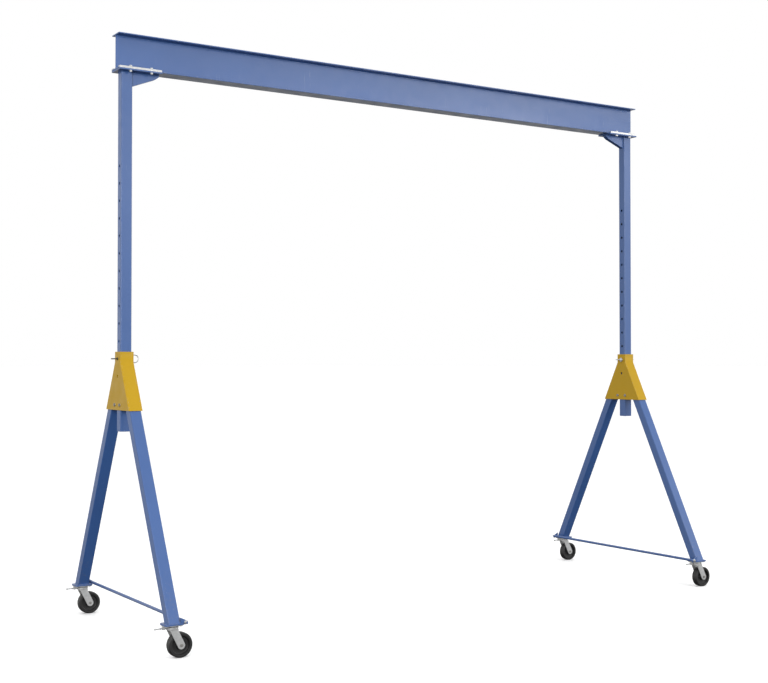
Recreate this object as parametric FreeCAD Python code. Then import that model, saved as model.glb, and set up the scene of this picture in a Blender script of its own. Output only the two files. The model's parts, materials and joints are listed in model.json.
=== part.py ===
"""Portable gantry crane: a rolled I-beam on two telescoping A-frames that stand on swivel casters.

Frame: +X runs along the beam, +Y across it, +Z up. The origin is on the floor under mid-span.
Each sub-part is written as its own STEP file in parts/, in millimetres.
"""
import FreeCAD, Part
import math
import os

Vec = FreeCAD.Vector
X_DIR = Vec(1, 0, 0)
Y_DIR = Vec(0, 1, 0)
Z_DIR = Vec(0, 0, 1)

# ---------------------------------------------------------------- driving dimensions

# I-beam, a 12 in deep rolled section
BEAM_LENGTH = 6096.0
BEAM_DEPTH = 310.4
FLANGE_WIDTH = 164.8
FLANGE_THICK = 9.7
WEB_THICK = 5.8
WEB_FILLET = 9.0
BEAM_UNDERSIDE = 4901.6

# uprights, rectangular tube with a row of pin holes through the two faces that look along X
UPRIGHT_AT_X = 2957.6
UPRIGHT_X = 100.0
UPRIGHT_Y = 88.9
UPRIGHT_WALL = 6.35
UPRIGHT_BOTTOM = 1754.0
TUBE_CORNER = 9.0
HOLE_PITCH = 152.4
HOLE_RADIUS = 13.5
PIN_Z = 2385.0
HOLES_BELOW_PIN = 1
HOLES_ABOVE_PIN = 11

# seat plate, clamp bars and gusset under each end of the beam
SEAT_THICK = 12.7
SEAT_WIDTH = 203.2
SEAT_INNER_END = 2651.0
SEAT_OUTER_END = 3045.0
SEAT_CORNER = 6.0
CLAMP_THICK = 9.5
CLAMP_WIDTH = 42.0
CLAMP_BOLT_Y = 92.0
CLAMP_BOLT_X = (2751.0, 2944.0)
GUSSET_WIDTH = 50.8
GUSSET_PLATE = 6.35
GUSSET_FLOOR_RISE = 7.0
GUSSET_ROOT_Z = 4762.0
GUSSET_KNEE = (2689.0, 4848.0)
GUSSET_TIP_Z = 4876.0
CLAMP_SETBACK = 6.0
CLAMP_LIP_GAP = 0.3

# A-frame legs, the same tube as wide as the bracket's pocket
LEG_X = 101.6
LEG_DEPTH = 88.9
LEG_WALL = 6.35
LEG_LEAN = math.radians(27.0)
LEG_FOOT_Y = 1061.0
LEG_TOP_Z = 2320.0
UPRIGHT_SIDE_GAP = 1.0

# bracket that joins the two legs and guides the upright
BRACKET_PLATE = 11.1
SKIRT_PLATE = 6.35
COLLAR_HALF_Y = 60.5
COLLAR_TOP = 2446.0
BRACKET_BOTTOM = 1940.0
GUIDE_Z = 1986.0
GUIDE_SLEEVE_RADIUS = 12.7
GUIDE_GAP = 1.2

# height pin
PIN_RADIUS = 12.7
PIN_END_PROUD = 1.0
PIN_NOSE_RADIUS = 5.0
PIN_NOSE_LENGTH = 59.0
PIN_TAPER = 8.0
PIN_HEAD_RADIUS = 22.5
PIN_HEAD_THICK = 9.0
PIN_HEAD_GAP = 1.0
PIN_HEAD_ROUNDING = 2.0
BAIL_WIRE_RADIUS = 4.5
BAIL_HALF_WIDTH = 33.0
BAIL_REACH = 62.7

# foot plates and the tie rod between the feet of one frame
CASTER_AXIS_Y = 1055.0
CASTER_HEIGHT = 266.7
FOOT_THICK = 12.7
FOOT_X = 165.1
FOOT_Y = 127.0
FOOT_CORNER = 19.0
TIE_OFFSET = 95.0
TIE_Z = 286.0
TIE_RADIUS = 13.35
TIE_END_Y = 1137.0
EAR_THICK = 9.5
EAR_OUTER_Y = 1110.0
EAR_TOP = 325.0
EAR_BOTTOM = 268.0
EAR_REACH = 114.5
EAR_ABOVE_ROD = 8.0
EAR_GAP = 0.2

# swivel casters
CASTER_PLATE_X = 158.8
CASTER_PLATE_Y = 114.3
CASTER_PLATE_THICK = 6.35
CASTER_PLATE_CORNER = 14.0
CASTER_BOLT_X = 62.7
CASTER_BOLT_Y = 31.0
RACE_RADIUS = 42.0
RACE_BOTTOM = 253.0
BALL_PITCH_RADIUS = 32.0
BALL_RADIUS = 4.7
GROOVE_RADIUS = 5.0
BALL_COUNT = 18
KINGPIN_RADIUS = 9.5
KINGPIN_BOTTOM = 208.0
CROWN_RADIUS = 52.0
CROWN_TOP = 251.0
CROWN_BOTTOM = 232.0
CROWN_ROUNDING = 2.5
YOKE_TOP_THICK = 8.0
YOKE_HALF_GAP = 35.1
YOKE_PLATE = 7.9
YOKE_BACK = 34.0
YOKE_FRONT = 42.0
STRAP_WIDTH = 61.5
STRAP_TOP_X = 4.0
STRAP_TOP_DROP = 10.0
WHEEL_TRAIL = 64.0
WHEEL_RADIUS = 101.6
WHEEL_WIDTH = 63.5
HUB_WIDTH = 66.0
HUB_RADIUS = 30.0
RIM_INNER_RADIUS = 76.0
WEB_WIDTH = 26.0
AXLE_RADIUS = 7.9
AXLE_SLEEVE_RADIUS = 12.65
AXLE_GAP = 0.1
KINGPIN_GAP = 0.06
KINGPIN_NUT_GAP = 0.6
WHEEL_BORE_RADIUS = 12.7

# swivel lock: a plunger that drops into one of four notches in the fork's crown
LOCK_Z = 244.0
LOCK_RADIUS = 5.0
LOCK_NOTCH_DEPTH = 10.5
LOCK_NOTCH_WIDTH = 10.8
LOCK_NOTCH_FLOOR = 238.0
LOCK_TIP_GAP = 1.5
LOCK_TRAVEL = 10.0
LOCK_KNOB_AT = 145.0
LOCK_KNOB_RADIUS = 8.0
LOCK_HOUSING_FROM = 60.0
LOCK_HOUSING_TO = 84.0
LOCK_HOUSING_HALF_Y = 11.0
LOCK_HOUSING_DROP = 10.0
LOCK_HOUSING_CORNER = 4.0
LOCK_BORE_GAP = 0.05
LOCK_COLLAR_RADIUS = 8.0
LOCK_COLLAR_LENGTH = 4.0
LOCK_COLLAR_GAP = 0.5

# hex fasteners: (shank radius, across flats, head or nut height)
HEAVY_BOLT = (7.9, 23.8, 10.0)
CASTER_BOLT = (6.3, 19.0, 8.0)
AXLE_BOLT = (AXLE_RADIUS, 22.2, 8.0)
KINGPIN_NUT_FLATS = 28.0
NUT_HEIGHT = 13.5
AXLE_NUT_HEIGHT = 9.0
AXLE_TAIL = 2.0
BOLT_CLEARANCE = 0.4
NUT_CLEARANCE = 0.1
BOLT_TAIL = 4.0
CASTER_BOLT_SHY = 0.7
HEX_CHAMFER = 0.6

# how far a cutting tool reaches past the metal
CUT_MARGIN = 5.0

# values that follow from the driving dimensions
TAN_LEAN = math.tan(LEG_LEAN)
COS_LEAN = math.cos(LEG_LEAN)
FOOT_TOP = CASTER_HEIGHT + FOOT_THICK
SEAT_BOTTOM = BEAM_UNDERSIDE - SEAT_THICK
FLANGE_TOP = BEAM_UNDERSIDE + FLANGE_THICK
BRACKET_HALF_X = LEG_X / 2 + BRACKET_PLATE
YOKE_OUTER_Y = YOKE_HALF_GAP + YOKE_PLATE

SIDES = {"left": -1, "right": 1}
ENDS = {"front": -1, "back": 1}


# ---------------------------------------------------------------- shape helpers

def box(x0, x1, y0, y1, z0, z1):
    """A box between two corners, given in any order."""
    low = Vec(min(x0, x1), min(y0, y1), min(z0, z1))
    return Part.makeBox(abs(x1 - x0), abs(y1 - y0), abs(z1 - z0), low)


def cylinder(radius, start, end):
    """A cylinder whose axis runs from start to end."""
    axis = end.sub(start)
    return Part.makeCylinder(radius, axis.Length, start, axis)


def drilled(shape, radius, start, stop):
    """A copy of shape with a round hole from start to stop."""
    past = stop.sub(start).normalize() * CUT_MARGIN
    return shape.cut(cylinder(radius, start - past, stop + past))


def turned_about_x(profile):
    """The solid swept by a closed outline of edges that has one side on the X axis."""
    return Part.Face(Part.Wire(profile)).revolve(Vec(0, 0, 0), X_DIR, 360)


def straight_edges(points):
    """The straight edges that join (x, radius) points in turn."""
    ends = [Vec(x, 0, radius) for x, radius in points]
    return [Part.makeLine(a, b) for a, b in zip(ends, ends[1:])]


def ball_end(centre_x, radius, stop_x):
    """The arc of a ball's outline from its -X pole round to where x is stop_x."""
    reach = stop_x - centre_x
    height = math.sqrt(radius ** 2 - reach ** 2)
    pole = Vec(centre_x - radius, 0, 0)
    slant = math.radians(135)
    between = Vec(centre_x + radius * math.cos(slant), 0, radius * math.sin(slant))
    return Part.Arc(pole, between, Vec(stop_x, 0, height)).toShape()


def round_edges(shape, radius, direction):
    """Round every straight edge that runs along direction."""
    chosen = []
    for edge in shape.Edges:
        if not isinstance(edge.Curve, (Part.Line, Part.LineSegment)):
            continue
        along = edge.tangentAt(edge.FirstParameter)
        if abs(along.dot(direction)) > 0.999:
            chosen.append(edge)
    return shape.makeFillet(radius, chosen)


def prism(points, direction):
    """Extrude the closed outline through points by the vector direction."""
    wire = Part.makePolygon(points + [points[0]])
    return Part.Face(wire).extrude(direction)


def tube(size_x, size_y, wall, length, corner):
    """A rectangular tube along Z with rounded corners, centred on the Z axis."""
    outer = box(-size_x / 2, size_x / 2, -size_y / 2, size_y / 2, 0, length)
    outer = round_edges(outer, corner, Z_DIR)
    in_x = size_x / 2 - wall
    in_y = size_y / 2 - wall
    inner = box(-in_x, in_x, -in_y, in_y, -1, length + 1)
    inner = round_edges(inner, corner - wall, Z_DIR)
    return outer.cut(inner)


def hex_prism(flats, height, base, axis):
    """A hexagonal prism that stands on base and runs along axis, with its far corners chamfered."""
    radius = flats / math.sqrt(3)
    points = []
    for i in range(6):
        angle = math.radians(60 * i)
        points.append(Vec(radius * math.cos(angle), radius * math.sin(angle), 0))
    body = prism(points, Vec(0, 0, height))
    reach = height + (radius - flats / 2) * HEX_CHAMFER
    cone = Part.makeCone(flats / 2 + reach / HEX_CHAMFER, flats / 2, reach, Vec(0, 0, height - reach), Z_DIR)
    body = body.common(cone)
    body.Placement = FreeCAD.Placement(base, FreeCAD.Rotation(Z_DIR, axis))
    return body


def hex_bolt(size, under_head, axis, grip):
    """A bolt whose head seats at under_head; its shank runs along axis for grip plus a short tail."""
    shank_radius, flats, head_height = size
    axis = Vec(axis).normalize()
    back = axis.multiply(-1)
    head = hex_prism(flats, head_height, under_head, back)
    tip = under_head.sub(Vec(back).multiply(grip))
    shank = cylinder(shank_radius, under_head, tip)
    return head.fuse(shank).removeSplitter()


def hex_nut(size, height, seat, axis):
    """A nut that seats at the point seat and stands along axis."""
    shank_radius, flats, _ = size
    axis = Vec(axis).normalize()
    body = hex_prism(flats, height, seat, axis)
    start = seat.sub(axis)
    hole = Part.makeCylinder(shank_radius + NUT_CLEARANCE, height + 2, start, axis)
    return body.cut(hole)


def write(name, *solids):
    """Write one node: one solid, or a group of separate ones."""
    shape = solids[0] if len(solids) == 1 else Part.makeCompound(list(solids))
    shape.exportStep(os.path.join("parts", name + ".step"))


# ---------------------------------------------------------------- beam, uprights and seats

def i_beam():
    """The rolled section, with fillets between the web and the flanges."""
    half_f = FLANGE_WIDTH / 2
    half_w = WEB_THICK / 2
    low = BEAM_UNDERSIDE
    top = BEAM_UNDERSIDE + BEAM_DEPTH
    start = -BEAM_LENGTH / 2
    outline = [
        (-half_f, low), (half_f, low), (half_f, low + FLANGE_THICK), (half_w, low + FLANGE_THICK),
        (half_w, top - FLANGE_THICK), (half_f, top - FLANGE_THICK), (half_f, top), (-half_f, top),
        (-half_f, top - FLANGE_THICK), (-half_w, top - FLANGE_THICK),
        (-half_w, low + FLANGE_THICK), (-half_f, low + FLANGE_THICK),
    ]
    section = prism([Vec(start, y, z) for y, z in outline], Vec(BEAM_LENGTH, 0, 0))
    roots = []
    for edge in section.Edges:
        middle = edge.CenterOfMass
        at_web = abs(abs(middle.y) - half_w) < 0.01
        if at_web and edge.Length > BEAM_LENGTH / 2:
            roots.append(edge)
    return section.makeFillet(WEB_FILLET, roots)


def upright(side):
    """One upright tube with its row of pin holes."""
    at_x = side * UPRIGHT_AT_X
    length = SEAT_BOTTOM - UPRIGHT_BOTTOM
    shape = tube(UPRIGHT_X, UPRIGHT_Y, UPRIGHT_WALL, length, TUBE_CORNER)
    shape.translate(Vec(at_x, 0, UPRIGHT_BOTTOM))
    for k in range(-HOLES_BELOW_PIN, HOLES_ABOVE_PIN + 1):
        z = PIN_Z + k * HOLE_PITCH
        start = Vec(at_x - UPRIGHT_X / 2, 0, z)
        shape = drilled(shape, HOLE_RADIUS, start, start + X_DIR * UPRIGHT_X)
    return shape


def clamp_bolt_points():
    """Where the clamp bolts stand on the seat plates: (x, y)."""
    return [(side * x, end * CLAMP_BOLT_Y) for side in (-1, 1) for x in CLAMP_BOLT_X for end in (-1, 1)]


def seat_plate(side):
    """The plate on top of an upright that carries the beam."""
    plate = box(side * SEAT_INNER_END, side * SEAT_OUTER_END,
                -SEAT_WIDTH / 2, SEAT_WIDTH / 2, SEAT_BOTTOM, BEAM_UNDERSIDE)
    plate = round_edges(plate, SEAT_CORNER, Z_DIR)
    for x, y in clamp_bolt_points():
        if x * side > 0:
            foot = Vec(x, y, SEAT_BOTTOM)
            plate = drilled(plate, HEAVY_BOLT[0] + BOLT_CLEARANCE, foot, foot + Z_DIR * SEAT_THICK)
    return plate


def clamp_bar(side, end):
    """A stepped bar that grips one edge of the beam's lower flange."""
    outer_y = end * SEAT_WIDTH / 2
    inner_y = end * (SEAT_WIDTH / 2 - CLAMP_WIDTH)
    x0 = side * (SEAT_INNER_END + CLAMP_SETBACK)
    x1 = side * SEAT_OUTER_END
    bar = box(x0, x1, inner_y, outer_y, FLANGE_TOP, FLANGE_TOP + CLAMP_THICK)
    lip_y = end * (FLANGE_WIDTH / 2 + CLAMP_LIP_GAP)
    bar = bar.fuse(box(x0, x1, lip_y, outer_y, BEAM_UNDERSIDE, FLANGE_TOP)).removeSplitter()
    for x in CLAMP_BOLT_X:
        foot = Vec(side * x, end * CLAMP_BOLT_Y, BEAM_UNDERSIDE)
        head = Vec(foot.x, foot.y, FLANGE_TOP + CLAMP_THICK)
        bar = drilled(bar, HEAVY_BOLT[0] + BOLT_CLEARANCE, foot, head)
    return bar


def gusset(side):
    """A folded channel under the seat plate, welded to the upright's inner face."""
    root_x = UPRIGHT_AT_X - UPRIGHT_X / 2
    knee_x, knee_z = GUSSET_KNEE
    outline = [(root_x, SEAT_BOTTOM), (root_x, GUSSET_ROOT_Z), (knee_x, knee_z),
               (SEAT_INNER_END + 1, GUSSET_TIP_Z), (SEAT_INNER_END + 1, SEAT_BOTTOM)]
    half = GUSSET_WIDTH / 2
    outer = prism([Vec(side * x, -half, z) for x, z in outline], Vec(0, GUSSET_WIDTH, 0))
    inside = GUSSET_WIDTH - 2 * GUSSET_PLATE
    lifted = [(x, z if z == SEAT_BOTTOM else z + GUSSET_FLOOR_RISE) for x, z in outline]
    hollow = prism([Vec(side * x, -inside / 2, z) for x, z in lifted], Vec(0, inside, 0))
    return outer.cut(hollow)


def write_beam_and_seats():
    write("i_beam", i_beam())
    for name, side in SIDES.items():
        write(name + "_upright", upright(side))
        write(name + "_seat_plate", seat_plate(side))
        write(name + "_gusset", gusset(side))
    write("clamp_bars", *[clamp_bar(side, end) for side in (-1, 1) for end in (-1, 1)])
    clamp_top = FLANGE_TOP + CLAMP_THICK
    grip = clamp_top - SEAT_BOTTOM + NUT_HEIGHT + BOLT_TAIL
    down = Vec(0, 0, -1)
    write("clamp_bolts", *[hex_bolt(HEAVY_BOLT, Vec(x, y, clamp_top), down, grip)
                           for x, y in clamp_bolt_points()])
    write("clamp_nuts", *[hex_nut(HEAVY_BOLT, NUT_HEIGHT, Vec(x, y, SEAT_BOTTOM), down)
                          for x, y in clamp_bolt_points()])


# ---------------------------------------------------------------- A-frames

def leg_centre_y(z):
    """Distance of a leg's centre line from the frame's middle at height z."""
    return LEG_FOOT_Y - (z - FOOT_TOP) * TAN_LEAN


def leg_height_at(centre_y):
    """Height at which a leg's centre line is centre_y from the frame's middle."""
    return FOOT_TOP + (LEG_FOOT_Y - centre_y) / TAN_LEAN


def leg(side, end):
    """A sloping tube, cut level at the foot plate and upright beside the sliding upright."""
    spare = 200
    length = (LEG_TOP_Z - FOOT_TOP) / COS_LEAN + 2 * spare
    shape = tube(LEG_X, LEG_DEPTH, LEG_WALL, length, TUBE_CORNER)
    shape.translate(Vec(0, 0, -spare))
    lean = FreeCAD.Rotation(X_DIR, math.degrees(LEG_LEAN) * end)
    foot = Vec(side * UPRIGHT_AT_X, end * LEG_FOOT_Y, FOOT_TOP)
    shape.Placement = FreeCAD.Placement(foot, lean).multiply(shape.Placement)
    near = UPRIGHT_Y / 2 + UPRIGHT_SIDE_GAP
    at_x = side * UPRIGHT_AT_X
    keep = box(at_x - LEG_X, at_x + LEG_X, end * near, end * (LEG_FOOT_Y + spare), FOOT_TOP, LEG_TOP_Z)
    return shape.common(keep)


def bracket_edge_y(z, inset):
    """The bracket's sloping edge at height z, moved inward by inset measured across the slope."""
    return leg_centre_y(z) + (LEG_DEPTH / 2 + SKIRT_PLATE - inset) / COS_LEAN


def collar_break_z(half_y, inset):
    """Height where the collar's vertical side meets the slope."""
    return leg_height_at(half_y - (LEG_DEPTH / 2 + SKIRT_PLATE - inset) / COS_LEAN)


def guide_points():
    """Where the guide bolts pass beside the upright: y."""
    return [end * (UPRIGHT_Y / 2 + GUIDE_GAP + GUIDE_SLEEVE_RADIUS) for end in (-1, 1)]


def bracket_plate(side, outward):
    """One of the two flat plates of the bracket, with the pin holes; outward is -1 or 1 along X."""
    edge = BRACKET_BOTTOM
    break_z = collar_break_z(COLLAR_HALF_Y, 0)
    half = [(COLLAR_HALF_Y, COLLAR_TOP), (COLLAR_HALF_Y, break_z), (bracket_edge_y(edge, 0), edge)]
    outline = half + [(-y, z) for y, z in reversed(half)]
    inner_x = side * UPRIGHT_AT_X + outward * LEG_X / 2
    plate = prism([Vec(inner_x, y, z) for y, z in outline], Vec(outward * BRACKET_PLATE, 0, 0))
    through = X_DIR * outward * BRACKET_PLATE
    for z in (PIN_Z, PIN_Z - HOLE_PITCH):
        start = Vec(inner_x, 0, z)
        plate = drilled(plate, HOLE_RADIUS, start, start + through)
    for y in guide_points():
        start = Vec(inner_x, y, GUIDE_Z)
        plate = drilled(plate, HEAVY_BOLT[0] + BOLT_CLEARANCE, start, start + through)
    return plate


def bracket_skirt(side, end):
    """The bent plate between the two flat ones that lies on a leg's outer face."""
    inner_half = COLLAR_HALF_Y - SKIRT_PLATE
    outline = [
        (COLLAR_HALF_Y, COLLAR_TOP),
        (COLLAR_HALF_Y, collar_break_z(COLLAR_HALF_Y, 0)),
        (bracket_edge_y(BRACKET_BOTTOM, 0), BRACKET_BOTTOM),
        (bracket_edge_y(BRACKET_BOTTOM, SKIRT_PLATE), BRACKET_BOTTOM),
        (inner_half, collar_break_z(inner_half, SKIRT_PLATE)),
        (inner_half, COLLAR_TOP),
    ]
    start = side * UPRIGHT_AT_X - LEG_X / 2
    return prism([Vec(start, end * y, z) for y, z in outline], Vec(LEG_X, 0, 0))


def guide_sleeve(side, y):
    """A spacer tube on a guide bolt, which also keeps the upright from swinging."""
    start = Vec(side * UPRIGHT_AT_X - LEG_X / 2, y, GUIDE_Z)
    stop = start + X_DIR * LEG_X
    return drilled(cylinder(GUIDE_SLEEVE_RADIUS, start, stop), HEAVY_BOLT[0] + NUT_CLEARANCE, start, stop)


def bail_spine(handle_dir):
    """The closed D of the pin's handle, from its back bar round to the far end, at x = 0."""
    out = Vec(1, 0, 0)
    top = handle_dir * BAIL_HALF_WIDTH
    low = handle_dir * -BAIL_HALF_WIDTH
    straight = out * (BAIL_REACH - BAIL_WIRE_RADIUS * 2 - BAIL_HALF_WIDTH)
    crown = out * (BAIL_REACH - BAIL_WIRE_RADIUS * 2)
    arc = Part.Arc(top + straight, crown, low + straight).toShape()
    edges = [Part.LineSegment(low, top).toShape(), Part.LineSegment(top, top + straight).toShape(),
             arc, Part.LineSegment(low + straight, low).toShape()]
    return edges


def pin_handle(handle_dir):
    """The wire D, made of straight rods, a half ring and ball corners."""
    low_bar, top_leg, arc, low_leg = bail_spine(handle_dir)
    pieces = []
    for edge in (low_bar, top_leg, low_leg):
        start = edge.Vertexes[0].Point
        stop = edge.Vertexes[1].Point
        pieces.append(cylinder(BAIL_WIRE_RADIUS, start, stop))
        pieces.append(Part.makeSphere(BAIL_WIRE_RADIUS, start))
        pieces.append(Part.makeSphere(BAIL_WIRE_RADIUS, stop))
    centre = arc.Curve.Center
    ring = Part.makeTorus(BAIL_HALF_WIDTH, BAIL_WIRE_RADIUS, centre, X_DIR.cross(handle_dir))
    big = BAIL_HALF_WIDTH * 2
    ring = ring.common(box(centre.x, centre.x + big, -big, big, -big, big))
    return pieces[0].multiFuse(pieces[1:] + [ring])


def height_pin(side, handle_dir):
    """The pin that sets the height: slim nose, shank, head and D handle on the crane's inner side."""
    shank_from = -BRACKET_HALF_X - PIN_END_PROUD
    nose_from = shank_from - PIN_NOSE_LENGTH
    head_at = BRACKET_HALF_X + PIN_HEAD_GAP
    head_end = head_at + PIN_HEAD_THICK
    ball_x = nose_from + PIN_NOSE_RADIUS
    tip = ball_end(ball_x, PIN_NOSE_RADIUS, ball_x)
    sides = straight_edges([
        (ball_x, PIN_NOSE_RADIUS), (shank_from - PIN_TAPER, PIN_NOSE_RADIUS), (shank_from, PIN_RADIUS),
        (head_at, PIN_RADIUS), (head_at, PIN_HEAD_RADIUS - PIN_HEAD_ROUNDING),
        (head_at + PIN_HEAD_ROUNDING, PIN_HEAD_RADIUS), (head_end - PIN_HEAD_ROUNDING, PIN_HEAD_RADIUS),
        (head_end, PIN_HEAD_RADIUS - PIN_HEAD_ROUNDING), (head_end, 0), (nose_from, 0),
    ])
    handle = pin_handle(handle_dir)
    handle.translate(Vec(head_end + BAIL_WIRE_RADIUS - 1, 0, 0))
    pin = turned_about_x([tip] + sides).fuse(handle).removeSplitter()
    if side > 0:
        pin = pin.mirror(Vec(0, 0, 0), X_DIR)
    pin.translate(Vec(side * UPRIGHT_AT_X, 0, PIN_Z))
    return pin


def foot_plate(side, end):
    """The plate under a leg that a caster bolts to."""
    at_x = side * UPRIGHT_AT_X
    at_y = end * CASTER_AXIS_Y
    plate = box(at_x - FOOT_X / 2, at_x + FOOT_X / 2, at_y - FOOT_Y / 2, at_y + FOOT_Y / 2,
                CASTER_HEIGHT, FOOT_TOP)
    plate = round_edges(plate, FOOT_CORNER, Z_DIR)
    for point in caster_bolt_points(side, end):
        base = point + Z_DIR * CASTER_HEIGHT
        plate = drilled(plate, CASTER_BOLT[0] + NUT_CLEARANCE, base, base + Z_DIR * FOOT_THICK)
    return plate


def tie_ear(side, end):
    """A lug between a leg's foot and the tie rod, on the side that faces the other frame."""
    past_plate = FOOT_X / 2 + EAR_GAP
    outline = [(LEG_X / 2, FOOT_TOP), (past_plate, FOOT_TOP), (past_plate, EAR_BOTTOM),
               (EAR_REACH, EAR_BOTTOM), (EAR_REACH, TIE_Z + EAR_ABOVE_ROD), (LEG_X / 2, EAR_TOP)]
    at_x = side * UPRIGHT_AT_X
    face_y = end * EAR_OUTER_Y
    points = [Vec(at_x - side * x, face_y, z) for x, z in outline]
    across = Y_DIR * -end * EAR_THICK
    start = Vec(at_x - side * TIE_OFFSET, face_y, TIE_Z)
    return drilled(prism(points, across), HEAVY_BOLT[0] + BOLT_CLEARANCE, start, start + across)


def tie_rod(side):
    """The rod between the two feet of a frame, with thinner threaded ends through the lugs."""
    at_x = side * (UPRIGHT_AT_X - TIE_OFFSET)
    shoulder = EAR_OUTER_Y - EAR_THICK
    body = cylinder(TIE_RADIUS, Vec(at_x, -shoulder, TIE_Z), Vec(at_x, shoulder, TIE_Z))
    thread = cylinder(HEAVY_BOLT[0], Vec(at_x, -TIE_END_Y, TIE_Z), Vec(at_x, TIE_END_Y, TIE_Z))
    return body.fuse(thread).removeSplitter()


def frame_nuts(side):
    """The nuts on the tie rod's ends and on the guide bolts."""
    at_x = side * (UPRIGHT_AT_X - TIE_OFFSET)
    nuts = []
    for end in (-1, 1):
        seat = Vec(at_x, end * EAR_OUTER_Y, TIE_Z)
        nuts.append(hex_nut(HEAVY_BOLT, NUT_HEIGHT, seat, Vec(0, end, 0)))
    for y in guide_points():
        seat = Vec(side * UPRIGHT_AT_X + BRACKET_HALF_X, y, GUIDE_Z)
        nuts.append(hex_nut(HEAVY_BOLT, NUT_HEIGHT, seat, X_DIR))
    return nuts


def guide_bolt(side, y):
    """A bolt through both bracket plates, with its head on the -X side."""
    head_seat = Vec(side * UPRIGHT_AT_X - BRACKET_HALF_X, y, GUIDE_Z)
    return hex_bolt(HEAVY_BOLT, head_seat, X_DIR, 2 * BRACKET_HALF_X + NUT_HEIGHT + BOLT_TAIL)


# ---------------------------------------------------------------- casters

def caster_axis(side, end):
    """The foot of a caster's swivel axis, on the floor."""
    return Vec(side * UPRIGHT_AT_X, end * CASTER_AXIS_Y, 0)


def caster_bolt_points(side, end):
    """Where a caster's four bolts stand, at z = 0."""
    base = caster_axis(side, end)
    return [base + Vec(i * CASTER_BOLT_X, j * CASTER_BOLT_Y, 0) for i in (-1, 1) for j in (-1, 1)]


def ball_groove():
    """The ring groove that the swivel balls run in, round the Z axis."""
    middle_z = (RACE_BOTTOM + CROWN_TOP) / 2
    return Part.makeTorus(BALL_PITCH_RADIUS, GROOVE_RADIUS, Vec(0, 0, middle_z), Z_DIR)


def caster_plate():
    """The caster's fixed half: bolt plate, upper race, kingpin and the swivel lock's housing."""
    low = CASTER_HEIGHT - CASTER_PLATE_THICK
    half_x = CASTER_PLATE_X / 2
    half_y = CASTER_PLATE_Y / 2
    plate = box(-half_x, half_x, -half_y, half_y, low, CASTER_HEIGHT)
    plate = round_edges(plate, CASTER_PLATE_CORNER, Z_DIR)
    race = cylinder(RACE_RADIUS, Vec(0, 0, RACE_BOTTOM), Vec(0, 0, low)).cut(ball_groove())
    kingpin = cylinder(KINGPIN_RADIUS, Vec(0, 0, KINGPIN_BOTTOM), Vec(0, 0, low))
    half = LOCK_HOUSING_HALF_Y
    housing = box(-LOCK_HOUSING_TO, -LOCK_HOUSING_FROM, -half, half, LOCK_Z - LOCK_HOUSING_DROP, low)
    housing = round_edges(housing, LOCK_HOUSING_CORNER, X_DIR)
    housing = housing.fuse(box(-LOCK_HOUSING_TO, -LOCK_HOUSING_FROM, -half, half, LOCK_Z, low))
    shape = plate.multiFuse([race, kingpin, housing]).removeSplitter()
    shape = drilled(shape, LOCK_RADIUS + LOCK_BORE_GAP,
                    Vec(-LOCK_HOUSING_TO, 0, LOCK_Z), Vec(-LOCK_HOUSING_FROM, 0, LOCK_Z))
    for i in (-1, 1):
        for j in (-1, 1):
            foot = Vec(i * CASTER_BOLT_X, j * CASTER_BOLT_Y, low)
            head = foot + Z_DIR * CASTER_PLATE_THICK
            shape = drilled(shape, CASTER_BOLT[0] + BOLT_CLEARANCE, foot, head)
    return shape


def swivel_balls():
    """The ring of balls between the plate and the fork's crown."""
    middle_z = (RACE_BOTTOM + CROWN_TOP) / 2
    balls = []
    for i in range(BALL_COUNT):
        angle = 2 * math.pi * i / BALL_COUNT
        centre = Vec(BALL_PITCH_RADIUS * math.cos(angle), BALL_PITCH_RADIUS * math.sin(angle), middle_z)
        balls.append(Part.makeSphere(BALL_RADIUS, centre))
    return balls


def kingpin_nut():
    """The nut under the crown that holds the fork up."""
    top = CROWN_BOTTOM - YOKE_TOP_THICK - KINGPIN_NUT_GAP
    return hex_nut((KINGPIN_RADIUS, KINGPIN_NUT_FLATS, 0), NUT_HEIGHT, Vec(0, 0, top), Vec(0, 0, -1))


def strap(y_from, y_to):
    """One slanted side plate of the fork, from the crown down to the wheel's axle."""
    top = Vec(STRAP_TOP_X, 0, CROWN_BOTTOM - STRAP_TOP_DROP)
    axle = Vec(WHEEL_TRAIL, 0, WHEEL_RADIUS)
    run = axle.sub(top)
    across = Vec(run.z, 0, -run.x).normalize() * (STRAP_WIDTH / 2)
    corners = [top + across, axle + across, axle - across, top - across]
    plate = prism([Vec(p.x, y_from, p.z) for p in corners], Vec(0, y_to - y_from, 0))
    for centre in (top, axle):
        start = Vec(centre.x, y_from, centre.z)
        plate = plate.fuse(cylinder(STRAP_WIDTH / 2, start, Vec(centre.x, y_to, centre.z)))
    under_crown = box(-200, 200, y_from - 1, y_to + 1, 0, CROWN_BOTTOM)
    return plate.common(under_crown)


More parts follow.
